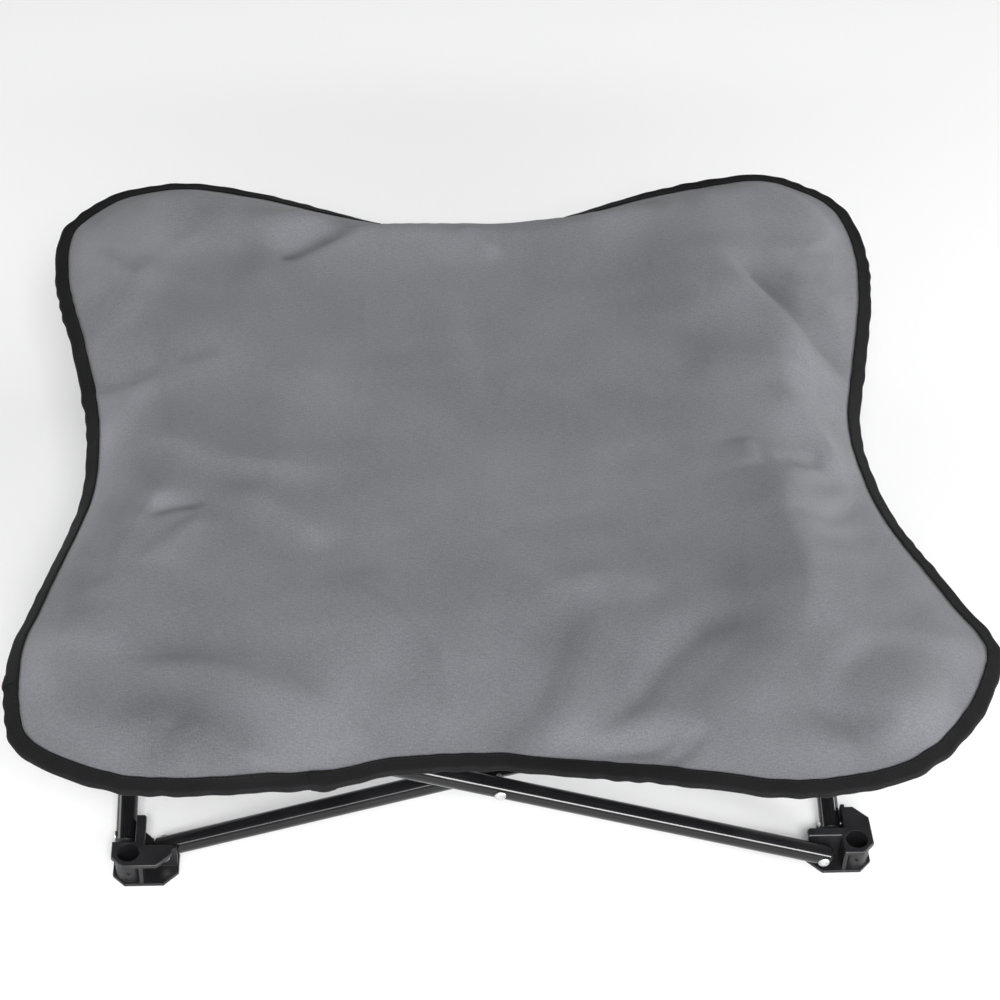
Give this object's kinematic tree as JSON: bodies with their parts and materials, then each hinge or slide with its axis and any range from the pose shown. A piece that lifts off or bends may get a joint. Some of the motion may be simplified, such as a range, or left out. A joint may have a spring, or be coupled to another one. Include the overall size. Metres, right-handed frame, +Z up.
{
  "type": "folding dog bed",
  "caption": "Raised folding dog bed: a padded fabric panel with four rounded corners and bound edges on a square scissor frame of black steel tubes and plastic hubs.",
  "frame": {"origin": "centre of the footprint on the floor, with the bed open", "axes": "+Z up, the front faces -Y, +X to the right of someone who looks at the front"},
  "size_m": [0.8716, 0.8716, 0.2501],
  "materials": {
    "black_plastic": "moulded, fine satin grain",
    "black_steel": "gloss black powder coat",
    "bare_steel": "zinc plated",
    "grey_fabric": "coated plain weave over thin padding",
    "black_tape": "woven binding tape, stitched"
  },
  "bodies": {
    "lower_hub_front_left": {"lower_hub_front_left": "black_plastic", "rivet_lower_outer_front_left": "bare_steel", "rivet_lower_inner_front_left": "bare_steel"},
    "lower_hub_front_right": {"lower_hub_front_right": "black_plastic", "rivet_lower_outer_front_right": "bare_steel", "rivet_lower_inner_front_right": "bare_steel"},
    "lower_hub_back_right": {"lower_hub_back_right": "black_plastic", "rivet_lower_outer_back_right": "bare_steel", "rivet_lower_inner_back_right": "bare_steel"},
    "lower_hub_back_left": {"lower_hub_back_left": "black_plastic", "rivet_lower_outer_back_left": "bare_steel", "rivet_lower_inner_back_left": "bare_steel"},
    "upper_hub_front_left": {"upper_hub_front_left": "black_plastic", "rivet_upper_outer_front_left": "bare_steel", "rivet_upper_inner_front_left": "bare_steel", "corner_post_front_left": "black_plastic", "pad": "grey_fabric", "binding": "black_tape"},
    "upper_hub_front_right": {"upper_hub_front_right": "black_plastic", "rivet_upper_outer_front_right": "bare_steel", "rivet_upper_inner_front_right": "bare_steel", "corner_post_front_right": "black_plastic"},
    "upper_hub_back_right": {"upper_hub_back_right": "black_plastic", "rivet_upper_outer_back_right": "bare_steel", "rivet_upper_inner_back_right": "bare_steel", "corner_post_back_right": "black_plastic"},
    "upper_hub_back_left": {"upper_hub_back_left": "black_plastic", "rivet_upper_outer_back_left": "bare_steel", "rivet_upper_inner_back_left": "bare_steel", "corner_post_back_left": "black_plastic"},
    "tube_front_outer": {"tube_front_outer": "black_steel", "plug_lower_front_outer": "black_plastic", "plug_upper_front_outer": "black_plastic", "centre_pin_front": "bare_steel"},
    "tube_front_inner": {"tube_front_inner": "black_steel", "plug_lower_front_inner": "black_plastic", "plug_upper_front_inner": "black_plastic"},
    "tube_right_outer": {"tube_right_outer": "black_steel", "plug_lower_right_outer": "black_plastic", "plug_upper_right_outer": "black_plastic", "centre_pin_right": "bare_steel"},
    "tube_right_inner": {"tube_right_inner": "black_steel", "plug_lower_right_inner": "black_plastic", "plug_upper_right_inner": "black_plastic"},
    "tube_back_outer": {"tube_back_outer": "black_steel", "plug_lower_back_outer": "black_plastic", "plug_upper_back_outer": "black_plastic", "centre_pin_back": "bare_steel"},
    "tube_back_inner": {"tube_back_inner": "black_steel", "plug_lower_back_inner": "black_plastic", "plug_upper_back_inner": "black_plastic"},
    "tube_left_outer": {"tube_left_outer": "black_steel", "plug_lower_left_outer": "black_plastic", "plug_upper_left_outer": "black_plastic", "centre_pin_left": "bare_steel"},
    "tube_left_inner": {"tube_left_inner": "black_steel", "plug_lower_left_inner": "black_plastic", "plug_upper_left_inner": "black_plastic"}
  },
  "joints": [
    {"name": "frame_fold", "type": "hinge", "parent": "lower_hub_front_left", "child": "tube_front_inner", "pos_m": [-0.30293, -0.31548, 0.01513], "axis": [0, -1, 0], "range_deg": [0, 66], "deforming": ["pad", "binding"]},
    {"name": "front_cross", "type": "hinge", "parent": "tube_front_inner", "child": "tube_front_outer", "pos_m": [0, -0.32708, 0.11826], "axis": [0, 1, 0], "range_deg": [0, 132]},
    {"name": "front_right_foot", "type": "hinge", "parent": "tube_front_outer", "child": "lower_hub_front_right", "pos_m": [0.30293, -0.33868, 0.01513], "axis": [0, -1, 0], "range_deg": [0, 66]},
    {"name": "front_right_head", "type": "hinge", "parent": "tube_front_inner", "child": "upper_hub_front_right", "pos_m": [0.30293, -0.31548, 0.22139], "axis": [0, 1, 0], "range_deg": [0, 66]},
    {"name": "front_left_head", "type": "hinge", "parent": "tube_front_outer", "child": "upper_hub_front_left", "pos_m": [-0.30293, -0.33868, 0.22139], "axis": [0, -1, 0], "range_deg": [0, 66]},
    {"name": "right_swing", "type": "hinge", "parent": "lower_hub_front_right", "child": "tube_right_inner", "pos_m": [0.31548, -0.30293, 0.01513], "axis": [1, 0, 0], "range_deg": [0, 66]},
    {"name": "right_cross", "type": "hinge", "parent": "tube_right_inner", "child": "tube_right_outer", "pos_m": [0.32708, 0, 0.11826], "axis": [-1, 0, 0], "range_deg": [0, 132]},
    {"name": "back_right_foot", "type": "hinge", "parent": "tube_right_outer", "child": "lower_hub_back_right", "pos_m": [0.33868, 0.30293, 0.01513], "axis": [1, 0, 0], "range_deg": [0, 66]},
    {"name": "back_right_head", "type": "hinge", "parent": "tube_right_inner", "child": "upper_hub_back_right", "pos_m": [0.31548, 0.30293, 0.22139], "axis": [-1, 0, 0], "range_deg": [0, 66]},
    {"name": "left_swing", "type": "hinge", "parent": "lower_hub_front_left", "child": "tube_left_outer", "pos_m": [-0.33868, -0.30293, 0.01513], "axis": [1, 0, 0], "range_deg": [0, 66]},
    {"name": "left_cross", "type": "hinge", "parent": "tube_left_outer", "child": "tube_left_inner", "pos_m": [-0.32708, 0, 0.11826], "axis": [-1, 0, 0], "range_deg": [0, 132]},
    {"name": "back_left_foot", "type": "hinge", "parent": "tube_left_inner", "child": "lower_hub_back_left", "pos_m": [-0.31548, 0.30293, 0.01513], "axis": [1, 0, 0], "range_deg": [0, 66]},
    {"name": "back_left_head", "type": "hinge", "parent": "tube_left_outer", "child": "upper_hub_back_left", "pos_m": [-0.33868, 0.30293, 0.22139], "axis": [-1, 0, 0], "range_deg": [0, 66]},
    {"name": "back_swing", "type": "hinge", "parent": "lower_hub_back_left", "child": "tube_back_outer", "pos_m": [-0.30293, 0.33868, 0.01513], "axis": [0, -1, 0], "range_deg": [0, 66]},
    {"name": "back_cross", "type": "hinge", "parent": "tube_back_outer", "child": "tube_back_inner", "pos_m": [0, 0.32708, 0.11826], "axis": [0, 1, 0], "range_deg": [0, 132]}
  ],
  "couplings": [
    {"joint": "front_cross", "follows": "frame_fold", "ratio": 2},
    {"joint": "front_right_foot", "follows": "frame_fold", "ratio": 1},
    {"joint": "front_right_head", "follows": "frame_fold", "ratio": 1},
    {"joint": "front_left_head", "follows": "frame_fold", "ratio": 1},
    {"joint": "right_swing", "follows": "frame_fold", "ratio": 1},
    {"joint": "right_cross", "follows": "frame_fold", "ratio": 2},
    {"joint": "back_right_foot", "follows": "frame_fold", "ratio": 1},
    {"joint": "back_right_head", "follows": "frame_fold", "ratio": 1},
    {"joint": "left_swing", "follows": "frame_fold", "ratio": 1},
    {"joint": "left_cross", "follows": "frame_fold", "ratio": 2},
    {"joint": "back_left_foot", "follows": "frame_fold", "ratio": 1},
    {"joint": "back_left_head", "follows": "frame_fold", "ratio": 1},
    {"joint": "back_swing", "follows": "frame_fold", "ratio": 1},
    {"joint": "back_cross", "follows": "frame_fold", "ratio": 2}
  ]
}
